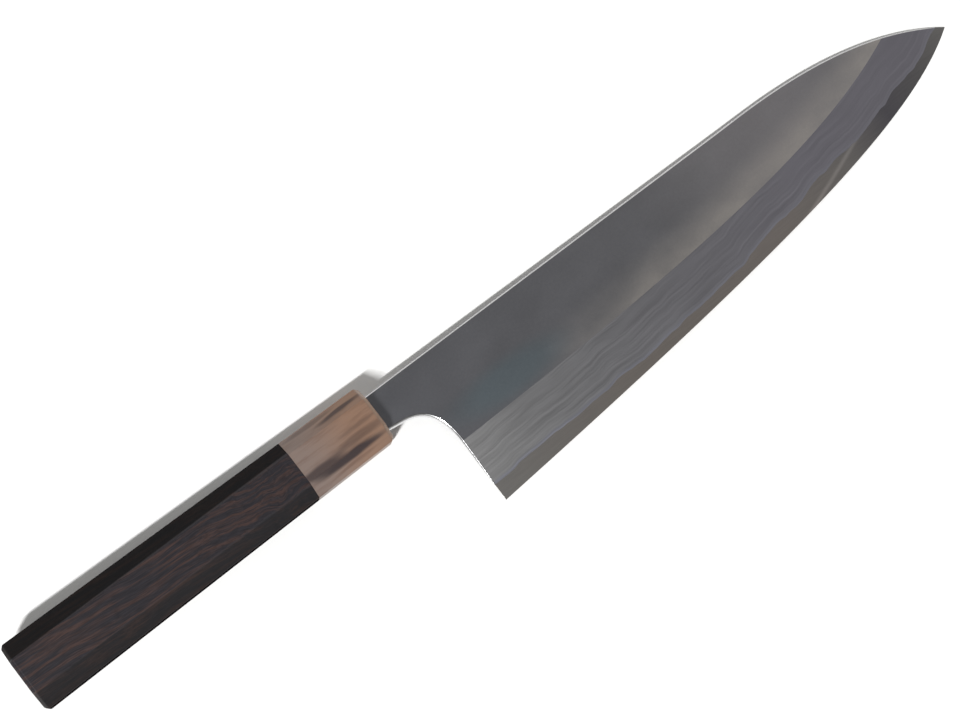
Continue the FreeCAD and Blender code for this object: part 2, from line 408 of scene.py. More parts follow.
class BladePlan:
    """The blade's outline cut into small triangles along every line that shows on its faces."""

    grid = 1.7
    clear = 0.45

    def __init__(self, shape: BladeShape, rim: RimSizes) -> None:
        """Cuts the plan and works out what the heights need."""
        self.shape = shape
        self.rim = rim
        self.outline, self.rim_width = self._outline()
        step = np.roll(self.outline, -1, 0) - self.outline
        step /= np.linalg.norm(step, axis=1)[:, None]
        out = np.stack([step[:, 1], -step[:, 0]], 1)
        both = out + np.roll(out, 1, 0)
        self.outward = both / np.linalg.norm(both, axis=1)[:, None]
        self.points, self.triangles = self._cut()
        self.depth, self.width, self.away = self._to_outline(self.points)
        self.band = self._bands(self.points[self.triangles].mean(1))

    def _outline(self) -> tuple[Array, Array]:
        """Closed outline, counter-clockwise, and the width of the rounding at each point."""
        shape, rim = self.shape, self.rim
        choil, edge, spine = shape.choil, shape.edge, shape.spine
        root, end = shape.tang_root[0] / 2, shape.tang_end[0] / 2
        shoulder, tail = shape.shoulder_x, shape.tang_end_x
        low, top = -shape.neck_under, shape.spine_height

        def straight(a: Any, b: Any, wide_a: float, wide_b: float, count: int
                     ) -> tuple[Array, Array]:
            """A straight stretch."""
            share = np.linspace(0.0, 1.0, count + 1)
            return (np.outer(1 - share, a) + np.outer(share, b),
                    wide_a * (1 - share) + wide_b * share)

        def bent(curve: Array, share: Array, places: Any, widths: Any) -> tuple[Array, Array]:
            """A stretch of a curve, with widths given at some places on it."""
            return bezier(curve, share), np.interp(share, places, widths)

        parts = [
            straight((tail, -end), (shoulder, -root), 0, 0, 12),
            straight((shoulder, -root), (shoulder, low), 0, 0, 1),
            straight((shoulder, low), (0.0, low), rim.neck, rim.neck, 2),
            straight((0.0, low), choil[0], rim.neck, rim.neck, 6),
            bent(choil, np.linspace(0.0, 1.0, 41), (0, 0.5, 1),
                 (rim.neck, rim.choil, rim.heel_top)),
            straight(choil[3], edge[0], rim.heel_top, rim.heel_corner, 26),
            bent(edge, np.linspace(0.0, 1.0, 221), (0, 1), (0, 0)),
            bent(spine, np.linspace(1.0, 0.0, 91), (0, 0.93, 1),
                 (rim.spine_middle, rim.spine_middle * 0.8, rim.tip)),
            straight(spine[0], (0.0, top), rim.spine_middle, rim.spine_neck, 90),
            straight((0.0, top), (shoulder, top), rim.spine_neck, rim.spine_neck, 2),
            straight((shoulder, top), (shoulder, root), 0, 0, 1),
            straight((shoulder, root), (tail, end), 0, 0, 12),
            straight((tail, end), (tail, -end), 0, 0, 2)]
        return (np.concatenate([line[:-1] for line, _ in parts]),
                np.concatenate([width[:-1] for _, width in parts]))

    def _to_outline(self, at: Array) -> tuple[Array, Array, Array]:
        """Distance to the outline, width of the rounding there and the outward direction.

        Args:
            at: points of the blade's plane.

        Returns:
            Three arrays with a row for each point.
        """
        start = self.outline
        run = np.roll(start, -1, 0) - start
        length = (run * run).sum(1)
        gap = np.empty(len(at))
        near = np.empty(len(at), int)
        part = np.empty(len(at))
        for i, p in enumerate(at):
            share = np.clip(((p - start) * run).sum(1) / length, 0, 1)
            away = p - (start + run * share[:, None])
            far = (away * away).sum(1)
            # a point near two stretches belongs to the one that is rounded
            near[i] = np.argmin(far - 1e-9 * (self.rim_width > 0))
            part[i] = share[near[i]]
            gap[i] = math.sqrt(far[near[i]])
        after = (near + 1) % len(start)
        wide = self.rim_width[near] * (1 - part) + self.rim_width[after] * part
        out = (self.outward[near] * (1 - part)[:, None] + self.outward[after] * part[:, None])
        return gap, wide, out / np.linalg.norm(out, axis=1)[:, None]

    def inside(self, at: Array) -> Array:
        """Tells which points lie inside the outline."""
        odd = np.zeros(len(at), bool)
        for a, b in zip(self.outline, np.roll(self.outline, -1, 0)):
            if a[1] != b[1]:
                spans = (a[1] > at[:, 1]) != (b[1] > at[:, 1])
                cross = a[0] + (at[:, 1] - a[1]) * (b[0] - a[0]) / (b[1] - a[1])
                odd ^= spans & (at[:, 0] < cross)
        return odd

    def _rings(self) -> list[Array]:
        """Lines inside the outline that carry the rounding."""
        rounded = np.flatnonzero(self.rim_width > 0)
        runs = np.split(rounded, np.flatnonzero(np.diff(rounded) > 1) + 1)
        rings = []
        for turn in np.linspace(0, math.pi / 2, self.rim.steps + 1)[1:]:
            for run in runs:
                shift = self.rim_width[run] * (1 - math.cos(turn))
                rings.append(self.outline[run] - self.outward[run] * shift[:, None])
        return rings

    def _cut(self) -> tuple[Array, Array]:
        """Cuts the plan into triangles.

        Returns:
            The corner points and, for each triangle, three of their numbers.
        """
        shape, grid = self.shape, self.grid
        strip_x = np.arange(shape.neck_length - 0.6, shape.tip[0] - 0.5, 0.9)
        strip = np.stack([strip_x, shape.forge_line(strip_x)], 1)
        strip[0, 1] = strip[1, 1]
        line = bezier(shape.bevel_line, np.linspace(0.0, 0.98, 150))
        line = np.concatenate([line[:1] - (0.6, 0.0), line])
        xs = np.arange(shape.tang_end_x, shape.tip[0], grid)
        ys = np.arange(shape.heel_y, shape.spine_height, grid * 0.87)
        # on the hidden tang a few points along its axis are enough
        loose = np.array([(x + grid / 2 * (j % 2), y) for j, y in enumerate(ys) for x in xs
                          if x > shape.shoulder_x or (abs(y) < 1.0 and int(x) % 6 == 0)])
        loose = loose[self.inside(loose)]
        gap, wide, _ = self._to_outline(loose)
        off = np.abs(shape.distances(loose)[:, 1:])
        corners: list[Vector] = []
        edges: list[tuple[int, int]] = []
        for chain in [self.outline, strip, line] + self._rings():
            first = len(corners)
            corners += [Vector(p) for p in chain]
            edges += [(i, i + 1) for i in range(first, len(corners) - 1)]
            if first == 0:
                edges.append((len(corners) - 1, 0))
        clear = (gap > wide + self.clear) & (off > self.clear).all(1)
        corners += [Vector(p) for p in loose[clear]]
        found = delaunay_2d_cdt(corners, edges, [], 0, 1e-5)
        points = np.array([tuple(v) for v in found[0]])
        triangles = np.array([tuple(f) for f in found[2]])
        a, b, c = points[triangles].transpose(1, 0, 2)
        area = (b[:, 0] - a[:, 0]) * (c[:, 1] - a[:, 1]) - (b[:, 1] - a[:, 1]) * (c[:, 0] - a[:, 0])
        triangles[area < 0] = triangles[area < 0][:, ::-1]
        keep = self.inside((a + b + c) / 3) & (np.abs(area) > 1e-9)
        return points, triangles[keep]

    def _bands(self, middle: Array) -> Array:
        """Tells what part of the face each triangle belongs to, from its middle."""
        shape = self.shape
        gap, wide, _ = self._to_outline(middle)
        _, over_forge, over_bevel = shape.distances(middle).T
        band = np.full(len(middle), Band.FLAT.value)
        band[over_bevel < 0] = Band.BEVEL.value
        band[gap < wide] = Band.RIM.value
        band[(over_forge < 0) & (middle[:, 0] > shape.neck_length)] = Band.CORE.value
        band[middle[:, 0] < shape.shoulder_x] = Band.HIDDEN.value
        return band


@dataclass
class Solid:
    """A closed mesh under construction, in the knife's own millimetres."""

    corners: Array
    faces: list[tuple[int, ...]]
    normals: list[list[Place]]
    finish: list[int]

    def mirrored(self) -> "Solid":
        """The same solid on the other side of the blade's plane."""
        normals = [[(x, y, -z) for x, y, z in own[::-1]] for own in self.normals]
        return Solid(self.corners * (1.0, 1.0, -1.0), [face[::-1] for face in self.faces],
                     normals, self.finish)


class BladeSteel:
    """The three layers of the blade, each a closed solid."""

    def __init__(self, plan: BladePlan) -> None:
        """Works out heights and normals from the cut outline."""
        self.plan = plan
        shape, points = plan.shape, plan.points
        strip_x = np.arange(shape.neck_length, shape.tip[0] - 1.0, 0.5)
        strip = np.stack([strip_x, shape.forge_line(strip_x)], 1)
        self.core = np.interp(points[:, 0], strip_x, shape.half_bevel(strip))
        bevel = shape.half_bevel(points)
        ground = ((shape.above(shape.bevel_line, points) < 0)
                  & (points[:, 0] >= shape.shoulder_x + 0.01))
        face = np.where(ground, bevel, shape.half_flat(points))
        step = 0.05
        self.bevel_slopes = np.stack([(shape.half_bevel(points + move) - bevel) / step
                                      for move in ((step, 0.0), (0.0, step))], 1)
        # the rounding, a quarter of an ellipse
        self.lean = np.clip(1 - plan.depth / np.maximum(plan.width, 1e-6), 0, 1)
        self.lean[plan.width <= 0] = 0
        self.stand = np.sqrt(1 - self.lean * self.lean)
        self.drop = np.minimum(plan.width, plan.rim.depth * np.maximum(face - self.core, 0.02))
        self.top = face - self.drop * (1 - self.stand)
        self.chosen = plan.band != Band.CORE.value
        numbers = np.arange(len(points))
        self.bare = np.isin(numbers, plan.triangles[~self.chosen])
        self.forge_line = self.bare & np.isin(numbers, plan.triangles[self.chosen])
        flush = self.forge_line & (plan.width <= 0)
        self.top[flush] = face[flush]

    def _normals(self, triangle: int) -> list[Place]:
        """Normals of the outer face at the three corners of a triangle."""
        plan = self.plan
        numbers = plan.triangles[triangle]
        middle = plan.points[numbers].mean(0)[None, :]
        ground = plan.shape.above(plan.shape.bevel_line, middle)[0] < 0
        slope = self.bevel_slopes[numbers] if ground else plan.shape.flat_slope
        lean, stand = self.lean[numbers, None], self.stand[numbers, None]
        tilt = self.drop[numbers, None] / np.maximum(plan.width[numbers, None], 1e-6)
        flat = -slope * stand + plan.away[numbers] * lean * tilt
        whole = np.concatenate([flat, stand], 1)
        whole /= np.linalg.norm(whole, axis=1)[:, None]
        return [tuple(n) for n in whole]

    def _slab(self, chosen: Array, high: Array, low: Array, outer_low: bool, joined: Array
              ) -> Solid:
        """Closes the space between two heights over some of the triangles.

        Args:
            chosen: which triangles.
            high: upper height at each point of the plan.
            low: lower height.
            outer_low: whether the lower face is an outer face of the blade too.
            joined: points where both heights are one.

        Returns:
            The solid.
        """
        plan = self.plan
        used = np.unique(plan.triangles[chosen])
        lower = used[~joined[used]]
        numbers = np.concatenate([used, lower])
        corners = np.column_stack([plan.points[numbers],
                                   np.concatenate([high[used], low[lower]])])
        above = {int(v): i for i, v in enumerate(used)}
        below = {**above, **{int(v): len(used) + i for i, v in enumerate(lower)}}
        faces: list[tuple[int, ...]] = []
        normals: list[list[Place]] = []
        finish: list[int] = []
        pairs: dict[tuple[int, int], bool] = {}
        for t in np.flatnonzero(chosen):
            a, b, c = (int(v) for v in plan.triangles[t])
            own = self._normals(t)
            band = int(plan.band[t])
            faces += [(above[a], above[b], above[c]), (below[c], below[b], below[a])]
            outer = outer_low and band == Band.CORE.value
            normals += [own, [(x, y, -z) for x, y, z in own[::-1]] if outer
                        else [(0.0, 0.0, -1.0)] * 3]
            finish += [band, band if outer_low else Band.HIDDEN.value]
            pairs.update({(a, b): True, (b, c): True, (c, a): True})
        for a, b in pairs:
            ring = [above[a], below[a], below[b], above[b]]
            face = [v for i, v in enumerate(ring) if v != ring[i - 1]]
            if (b, a) in pairs or len(face) < 3:
                continue
            run = plan.points[b] - plan.points[a]
            square = np.array((run[1], -run[0])) / max(np.linalg.norm(run), 1e-9)
            faces.append(tuple(face))
            finish.append(Band.RIM.value)
            ends = [a if v in (above[a], below[a]) else b for v in face]
            normals.append([(*(plan.away[p] if plan.width[p] > 0 else square), 0.0)
                            for p in ends])
        return Solid(corners, faces, normals, finish)

    def cladding(self) -> Solid:
        """The soft layer on the right side."""
        return self._slab(self.chosen, self.top, np.minimum(self.core, self.top), False,
                          self.forge_line)

    def hard_core(self) -> Solid:
        """The hard layer in the middle, bare along the edge."""
        high = np.where(self.bare, self.top, np.minimum(self.core, self.top))
        return self._slab(np.ones(len(self.chosen), bool), high, -high, True,
                          np.zeros(len(high), bool))


def settle(piece: bpy.types.Object, node: str) -> None:
    """Args:
        piece: the finished object.
        node: the CAD node that it replaces.
    """
    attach(piece, BODY)
    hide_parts(node)
    LOG.info("%s: %d faces, stands for %s", piece.name, len(piece.data.polygons), node)


# ---- the handle ----------------------------------------------------------------------------


@dataclass(frozen=True)
class HandleShape:
    """Sizes of the eight-sided handle in millimetres."""

    handle_length: float = 133.35
    ferrule_length: float = 29.65
    # height, thickness and side flat of the two ends
    butt: Place = (23.85, 21.2, 11.8)
    front: Place = (20.1, 18.0, 10.6)
    butt_chamfer: float = 1.1
    front_chamfer: float = 1.2
    mouth_wall: float = 3.5
    mouth_height: tuple[float, float] = (-7.4, 6.95)
    mouth_width: float = 5.0
    bore_radius: float = 6.05
    bore_end: float = -88.5
    ridge_radius: float = 0.42
    ridge_steps: int = 4
    joint_break: float = 0.06

    def section(self, x: float) -> Array:
        """Height, thickness and side flat at x."""
        front = np.array(self.front)
        return front + (np.array(self.butt) - front) * (-x / self.handle_length)

    def ring(self, x: float, inset: float) -> list[Place]:
        """Eight-sided ring with slightly rounded ridges.

        Args:
            x: place along the axis.
            inset: how far it is moved in all round.

        Returns:
            Its points in order.
        """
        height, thickness, flat = self.section(x)
        cut = (height - flat) / 2 - inset * (2 - math.sqrt(2))
        tall, wide = height / 2 - inset, thickness / 2 - inset
        first = [(tall, wide - cut), (tall - cut, wide)]
        right = first + [(-y, z) for y, z in first[::-1]]
        radius = max(self.ridge_radius - inset * 0.15, 0.1)
        reach = radius / math.cos(math.pi / 8)
        points = []
        for number, (y, z) in enumerate(right + [(-y, -z) for y, z in right]):
            middle = (number + 0.5) * math.pi / 4
            for step in range(self.ridge_steps + 1):
                turn = (number + step / self.ridge_steps) * math.pi / 4
                points.append((x, y - reach * math.cos(middle) + radius * math.cos(turn),
                               z - reach * math.sin(middle) + radius * math.sin(turn)))
        return points

    def bore(self, back: float, front: float) -> list[list[Place]]:
        """Rings of the dowel's round hole."""
        turns = [2 * math.pi * i / 64 for i in range(64)]
        return [[(x, self.bore_radius * math.cos(t), self.bore_radius * math.sin(t))
                 for t in turns] for x in (back, front)]

    def mouth(self) -> list[list[Place]]:
        """Rings of the slot round the neck."""
        low, high = self.mouth_height
        wide = self.mouth_width / 2
        return [[(x, low, -wide), (x, high, -wide), (x, high, wide), (x, low, wide)]
                for x in (-self.mouth_wall, 1.0)]


def prism(name: str, rings: list[list[Place]], knife: KnifeFrame) -> bpy.types.Object:
    """Makes a closed bar through rings, from back to front.

    Args:
        name: the object's name.
        rings: rings with the same number of points, counter-clockwise as seen from the front.
        knife: the knife's frame.

    Returns:
        The object.
    """
    count = len(rings[0])
    last = count * (len(rings) - 1)
    faces = [(first + i, first + (i + 1) % count, first + count + (i + 1) % count,
              first + count + i) for first in range(0, last, count) for i in range(count)]
    faces += [tuple(range(count))[::-1], tuple(range(last, last + count))]
    mesh = bpy.data.meshes.new(name)
    mesh.from_pydata([knife.point(*p) for ring in rings for p in ring], [], faces)
    return new_object(name, mesh)


def bake(piece: bpy.types.Object) -> bpy.types.Mesh:
    """Turns a piece's modifiers into its mesh, and gives that mesh."""
    bpy.context.view_layer.update()
    reached = piece.evaluated_get(bpy.context.evaluated_depsgraph_get())
    old = piece.data
    mesh = bpy.data.meshes.new_from_object(reached)
    piece.modifiers.clear()
    piece.data = mesh
    bpy.data.meshes.remove(old)
    mesh.name = piece.name
    return mesh


def finish_mesh(piece: bpy.types.Object, cutters: list[bpy.types.Object],
                material: bpy.types.Material) -> None:
    """Cuts the hollows, shades the faces true to their size and gives the finish.

    Args:
        piece: the object.
        cutters: what is cut away, and thrown away afterwards.
        material: the finish.
    """
    piece.data.materials.append(material)
    for cutter in cutters:
        cut = piece.modifiers.new("cut", "BOOLEAN")
        cut.object = cutter
        cut.operation = "DIFFERENCE"
        cut.solver = "EXACT"
        cut.material_mode = "INDEX"
    mesh = bake(piece)
    for cutter in cutters:
        bpy.data.objects.remove(cutter)
    mesh.polygons.foreach_set("use_smooth", [True] * len(mesh.polygons))
    mesh.set_sharp_from_angle(angle=math.radians(32))
    weigh = piece.modifiers.new("weigh", "WEIGHTED_NORMAL")
    weigh.keep_sharp = True
    weigh.weight = 100
    bake(piece)


def broken_edge(face: float, chamfer: float, into: float) -> list[tuple[float, float]]:
    """x and inset of the rings of a 45 degree chamfer with slightly rounded edges, face first."""
    bends = ((0.0, chamfer + 0.3), (0.02, chamfer + 0.12), (0.09, chamfer - 0.06),
             (0.25, chamfer - 0.25))
    return ([(face + into * deep, inset) for deep, inset in bends]
            + [(face + into * inset, deep) for deep, inset in bends[::-1]])


# ---- finishes ------------------------------------------------------------------------------


@dataclass(frozen=True)
class Finish:
    """The surface of one real material."""

    name: str
    roughness: float

    def paint(self, add: Add, point: Socket) -> Inputs:
        """Adds the finish's own nodes.

        Args:
            add: adds a node to the material's tree.
            point: the knife's own millimetres.

        Returns:
            For inputs of the shader, by name, what feeds them.
        """
        raise NotImplementedError

    def make(self, knife: KnifeFrame) -> bpy.types.Material:
        """Builds the material."""
        material = bpy.data.materials.new(self.name)
        material.use_nodes = True
        tree = material.node_tree
        inputs = tree.nodes["Principled BSDF"].inputs
        inputs["Roughness"].default_value = self.roughness
        for name, value in self.paint(partial(add_node, tree), knife.coordinates(tree)).items():
            feed(tree, inputs[name], value)
        return material


@dataclass(frozen=True)
class Steel(Finish):
    """Steel: metal, so its colour tints what it mirrors; its tone along the blade is painted
    reflection.
    """

    ends: tuple[float, float]
    tones: Tones

    def start(self, add: Add, point: Socket) -> tuple[Socket, Any, Socket]:
        """Gives X, the heights over edge, forge line and bevel line, and the tone, a painted
        reflection along the blade.
        """
        x = add("SeparateXYZ", point)
        lines = add("Attribute", out="Vector", attribute_name="blade_lines")
        # painted reflection: the tone lightens and darkens along X in place of what the metal
        # mirrors
        tone = add("ValToRGB", add("MapRange", x, *self.ends), stops=self.tones)
        return x, add("SeparateXYZ", lines).node.outputs, tone


@dataclass(frozen=True)
class FlatSteel(Steel):
    """Soft iron cladding, ground flat and dulled with fine powder: an even slate sheen, faintly
    mottled, with a warm painted reflection that lightens it towards the bevel line."""

    name: str = "soft_iron_flat"
    roughness: float = 0.31
    ends: tuple[float, float] = (0.0, 210.0)
    # painted reflection: the tone lightens towards the middle of the blade
    tones: Tones = ((0.0, "#8e8f95"), (0.5, "#949499"), (0.65, "#a3a1a5"), (0.76, "#a9a6aa"),
                    (0.88, "#a19fa3"), (1.0, "#969498"))
    grit: Place = (0.8, 0.8, 0.8)
    mottle: Place = (23.8, 14.0, 14.0)
    # painted highlight: how much the flat is lightened towards the bevel line
    glow_lift: float = 0.14
    bloom_centre: Place = (40.0, -16.0, 1.5)
    bloom_reach: Place = (30.0, 8.5, 20.0)
    # colour of the painted reflection over the bevel line
    warm: str = "#c6c0ba"
    teal: str = "#83929a"

    def paint(self, add: Add, point: Socket) -> Inputs:
        """Adds a painted warm reflection over the bevel line, a bluish cloud and the grain of the
        powder.
        """
        x, over, tone = self.start(add, point)
        cloud = grains(add, point, self.mottle, 4.0, 0.6)
        # painted reflection: a warm, lighter band just above the bevel line, from the middle of the
        # blade on
        near = add("MapRange", over["Z"], 13.0, 0.0, **SMOOTH)
        far = add("MapRange", x, 40.0, 100.0, **SMOOTH)
        broken = add("MapRange", cloud, 0.3, 0.75, 0.3, 0.9)
        warm = add("Math MULTIPLY", add("Math MULTIPLY", near, far), broken)
        warmed = add("Mix", warm, tone, self.warm, **RGBA)
        # the first bloom of patina, low on the heel's side
        blue = blob(add, point, self.bloom_centre, self.bloom_reach, 0.7, 0.7)
        bloomed = add("Mix", blue, warmed, self.teal, **RGBA)
        grain = grains(add, point, self.grit, 3.0, 0.7)
        both = add("Math MULTIPLY_ADD", cloud, 0.45, grain)
        light = add("MapRange", both, 0.4, 1.05, 0.93, 1.07)
        # painted highlight: the base colour is lightened towards the bevel line
        lifted = add("Math MULTIPLY_ADD", near, self.glow_lift, light)
        rough = add("MapRange", cloud, 0.3, 0.7, self.roughness - 0.01, self.roughness + 0.015)
        return {"Metallic": 1.0, "Base Color": add("VectorMath SCALE", bloomed, lifted),
                "Roughness": rough, "Normal": add("Bump", 0.05, 0.00005, Height=grain)}


@dataclass(frozen=True)
class BevelSteel(Steel):
    """Soft iron cladding on the bevel, hazed on a natural stone: fine lines of the forged layers
    run along the edge, with a pale halo where the cladding ends."""

    name: str = "soft_iron_bevel"
    roughness: float = 0.36
    ends: tuple[float, float] = (17.0, 215.0)
    # painted reflection: lighter at the heel, darker towards the tip
    tones: Tones = ((0.0, "#b1b1b2"), (0.18, "#9e9ea1"), (0.45, "#95949a"), (0.7, "#93919a"),
                    (1.0, "#8b8992"))
    streak: Place = (26.0, 0.75, 1.0)
    halo: str = "#a9abb8"
    layer_step: float = 2.6
    layer_gain: float = 0.09

    def paint(self, add: Add, point: Socket) -> Inputs:
        """Adds the halo, fine streaks and the lines of the layers."""
        x, over, tone = self.start(add, point)
        layered = add("CombineXYZ", x, over["Y"])
        streak = grains(add, layered, self.streak, 3.0, 0.65, Distortion=0.4)
        cloud = grains(add, point, (22.0, 9.0, 9.0), 3.0)
        close = add("MapRange", over["Y"], 1.5, 0.1, **SMOOTH)
        fading = add("MapRange", x, 40.0, 190.0, 0.9, 0.2)
        haloed = add("Mix", add("Math MULTIPLY", close, fading), tone, self.halo, **RGBA)
        both = add("Math ADD", streak, cloud)
        light = add("MapRange", both, 0.7, 1.3, 0.968, 1.032)
        # a few lighter layers show as thin wavy lines above the forge line
        spread = add("Mapping", layered, None, None, (1 / 9.0, 1 / self.layer_step, 1.0),
                     vector_type="POINT")
        layers = add("TexWave", spread, 0.314, 2.6, 3.0, 1.3, 0.6, out="Fac",
                     bands_direction="Y")
        thin = add("MapRange", layers, 0.8, 1.0, 0.0, self.layer_gain, **SMOOTH)
        low = add("MapRange", over["Y"], 11.0, 3.0, **SMOOTH)
        lined = add("Math MULTIPLY_ADD", thin, low, light)
        rough = add("MapRange", streak, 0.3, 0.7, self.roughness - 0.03, self.roughness + 0.04)
        return {"Metallic": 1.0, "Base Color": add("VectorMath SCALE", haloed, lined),
                "Roughness": rough, "Normal": add("Bump", 0.08, 0.00005, Height=streak)}


@dataclass(frozen=True)
class CoreSteel(Steel):
    """High-carbon core steel, sharpened on a fine stone: darker and warmer than the iron and
    nearer to a mirror."""

    name: str = "carbon_steel_core"
    roughness: float = 0.3
    ends: tuple[float, float] = (17.0, 224.0)
    # painted reflection: lighter at the heel, a darker stretch towards the tip
    tones: Tones = ((0.0, "#b9b6b3"), (0.3, "#b4aca6"), (0.6, "#aea6a2"), (0.74, "#9d9997"),
                    (0.84, "#757379"), (0.92, "#7d7b7c"), (1.0, "#908e8d"))
    turn_place: float = 151.0
    turn_lean: float = 5.2
    turn_reach: float = 6.0
    turn_sheen: float = 0.45

    def paint(self, add: Add, point: Socket) -> Inputs:
        """Adds fine scratches and a painted sheen, a brighter band where the strokes turn towards
        the tip.
        """
        x, over, tone = self.start(add, point)
        scratch = grains(add, point, (7.0, 0.5, 1.0), 4.0)
        leant = add("Math MULTIPLY_ADD", over["X"], -self.turn_lean, x)
        apart = add("Math ABSOLUTE", add("Math SUBTRACT", leant, self.turn_place))
        # painted sheen: a brighter band across the core where the sharpening strokes turn
        turned = add("MapRange", apart, self.turn_reach, 0.0, 0.0, self.turn_sheen, **SMOOTH)
        light = add("Math ADD", add("MapRange", scratch, 0.3, 0.7, 0.95, 1.05), turned)
        return {"Metallic": 1.0, "Base Color": add("VectorMath SCALE", tone, light)}


@dataclass(frozen=True)
class PolishedSteel(Finish):
    """Spine, choil and heel rounded and polished with fine paper: a bright, narrow mirror."""

    name: str = "polished_iron_rim"
    roughness: float = 0.16
    tones: Tones = ((0.3, "#d2d2d4"), (0.7, "#e2e2e3"))

    def paint(self, add: Add, point: Socket) -> Inputs:
        """Adds the last faint scratches of the paper."""
        scratch = grains(add, point, (6.0, 0.4, 0.4), 3.0)
        rough = add("MapRange", scratch, 0.3, 0.7, self.roughness - 0.03, self.roughness + 0.05)
        return {"Metallic": 1.0, "Base Color": add("ValToRGB", scratch, stops=self.tones),
                "Roughness": rough}


@dataclass(frozen=True)
class BuffaloHorn(Finish):
    """Blond buffalo horn, sanded and lightly buffed: warm and slightly translucent, with smoky
    streaks along its fibres."""

    name: str = "blond_horn"
    roughness: float = 0.42
    fibre: Place = (22.0, 1.8, 1.8)
    light: str = "#846754"
    grey: str = "#7a6a62"
    brown: str = "#5a3e32"
    smoke: str = "#25171a"
    # colour of the painted highlight along the rounded front edge
    edge: str = "#a88f7c"
    waver: Place = (3.0, 0.8, 0.8)
    # dark flames in the horn: centre, half sizes and strength
    markings: tuple[tuple[Place, Place, float], ...] = (
        ((-14.5, -6.2, 8.8), (18.0, 2.0, 4.0), 0.96),
        ((-24.5, -4.3, 9.2), (12.0, 2.2, 3.0), 0.8),
        ((-9.0, 7.4, 6.6), (12.5, 1.0, 3.0), 0.75),
        ((-19.0, 9.3, 5.0), (14.0, 1.0, 3.0), 0.4),
        ((-9.0, -3.0, 9.2), (13.0, 1.9, 3.0), 0.45),
        ((-8.0, 0.2, 9.2), (9.0, 0.8, 3.0), 0.3),
        ((-13.0, 3.0, -9.0), (16.0, 1.4, 4.0), 0.85),
        ((-17.0, -8.0, -6.0), (14.0, 1.2, 4.0), 0.6))

    def paint(self, add: Add, point: Socket) -> Inputs:
        """Adds the fibres, the flames and a painted highlight along the front edge."""
        x = add("SeparateXYZ", point)
        wave = grains(add, point, (14.0, 5.0, 5.0), 2.0, out="Color")
        shifted = add("VectorMath MULTIPLY_ADD", wave, tuple(2 * w for w in self.waver), point)
        fibre = grains(add, shifted, self.fibre, 4.0, 0.6)
        age = add("MapRange", x, -28.0, -6.0, **SMOOTH)
        ground = add("Mix", age, self.grey, self.light, **RGBA)
        streaked = add("MapRange", fibre, 0.45, 0.75, 0.0, 0.55, **SMOOTH)
        tone = add("Mix", streaked, ground, self.brown, **RGBA)
        for centre, reach, strength in self.markings:
            moved = tuple(c + w for c, w in zip(centre, self.waver))
            dark = blob(add, shifted, moved, reach, 0.6, strength)
            tone = add("Mix", dark, tone, self.smoke, **RGBA)
        # painted highlight on the rounded front edge
        front_highlight = add("MapRange", x, -1.5, -0.5, 0.0, 0.65, **SMOOTH)
        return {"Base Color": add("Mix", front_highlight, tone, self.edge, **RGBA), "IOR": 1.54,
                "Subsurface Weight": 0.08, "Subsurface Scale": 1.0,
                "Subsurface Radius": (0.0012, 0.0007, 0.0004),
                "Normal": add("Bump", 0.08, 0.00008, Height=fibre)}


@dataclass(frozen=True)
class Ebony(Finish):
    """Ebony, planed, sanded and oiled: nearly black, with slanting streaks of reddish brown and
    fine pores along the grain."""

    name: str = "oiled_ebony"
    roughness: float = 0.36
    streak: Place = (26.0, 1.2, 2.4)
    slant: float = 5.0
    curl: float = 6.0
    black: str = "#28262a"
    brown: str = "#40312e"
    # painted shade: share of the tone left across the block, low on the edge side's sloping faces,
    # full in the middle, lowest on the spine side
    corners: tuple[tuple[float, float], ...] = (
        (0.1, 0.35), (0.27, 0.5), (0.285, 1.0), (0.715, 1.0), (0.73, 0.2))
    band: float = 14.0
    gloss: float = 0.2
    dry_gloss: float = 0.35

    def paint(self, add: Add, point: Socket) -> Inputs:
        """Adds slanting streaks that curl near the horn, pores, painted shade on the sloping faces,
        and a gloss that wears off.
        """
        axes = add("SeparateXYZ", point).node.outputs
        sloped = add("Mapping", point, None, (0.0, 0.0, math.radians(self.slant)),
                     vector_type="POINT")
        wave = grains(add, point, (30.0, 12.0, 12.0), 2.0, out="Color")
        bent = add("VectorMath MULTIPLY_ADD", wave, (0.0, 4.0, 4.0), sloped)
        front = add("MapRange", axes["X"], -75.0, -34.0, 0.0, self.curl, **SMOOTH)
        ripple = grains(add, point, (8.0, 7.0, 7.0), 2.0, out="Color")
        shifted = add("VectorMath ADD", bent, add("VectorMath SCALE", ripple, front))
        streak = grains(add, shifted, self.streak, 5.0, 0.6)
        fine = grains(add, shifted, (5.0, 0.35, 0.35), 2.0)
        share = add("MapRange", streak, 0.42, 0.68, **SMOOTH)
        tone = add("Mix", share, self.black, self.brown, **RGBA)
        pores = add("MapRange", fine, 0.3, 0.7, 0.75, 1.25)
        # painted shade: the sloping faces are darkened, most on the spine's side, and the middle
        # faces keep their tone
        across = add("MapRange", axes["Y"], -self.band, self.band)
        shade = add("Math MULTIPLY", pores, add("ValToRGB", across, stops=self.corners))
        # seen edge-on the dry wood keeps no gloss, and the spine's side was wiped drier still
        edge_on = add("LayerWeight", 0.5, out="Facing")
        gloss = add("MapRange", edge_on, 0.4, 0.85, self.gloss, 0.0)
        dry = add("MapRange", axes["Y"], 6.0, 6.4, 1.0, self.dry_gloss)
        return {"Base Color": add("VectorMath SCALE", tone, shade), "IOR": 1.5,
                "Specular IOR Level": add("Math MULTIPLY", gloss, dry),
                "Normal": add("Bump", 0.15, 0.00008, Height=fine)}


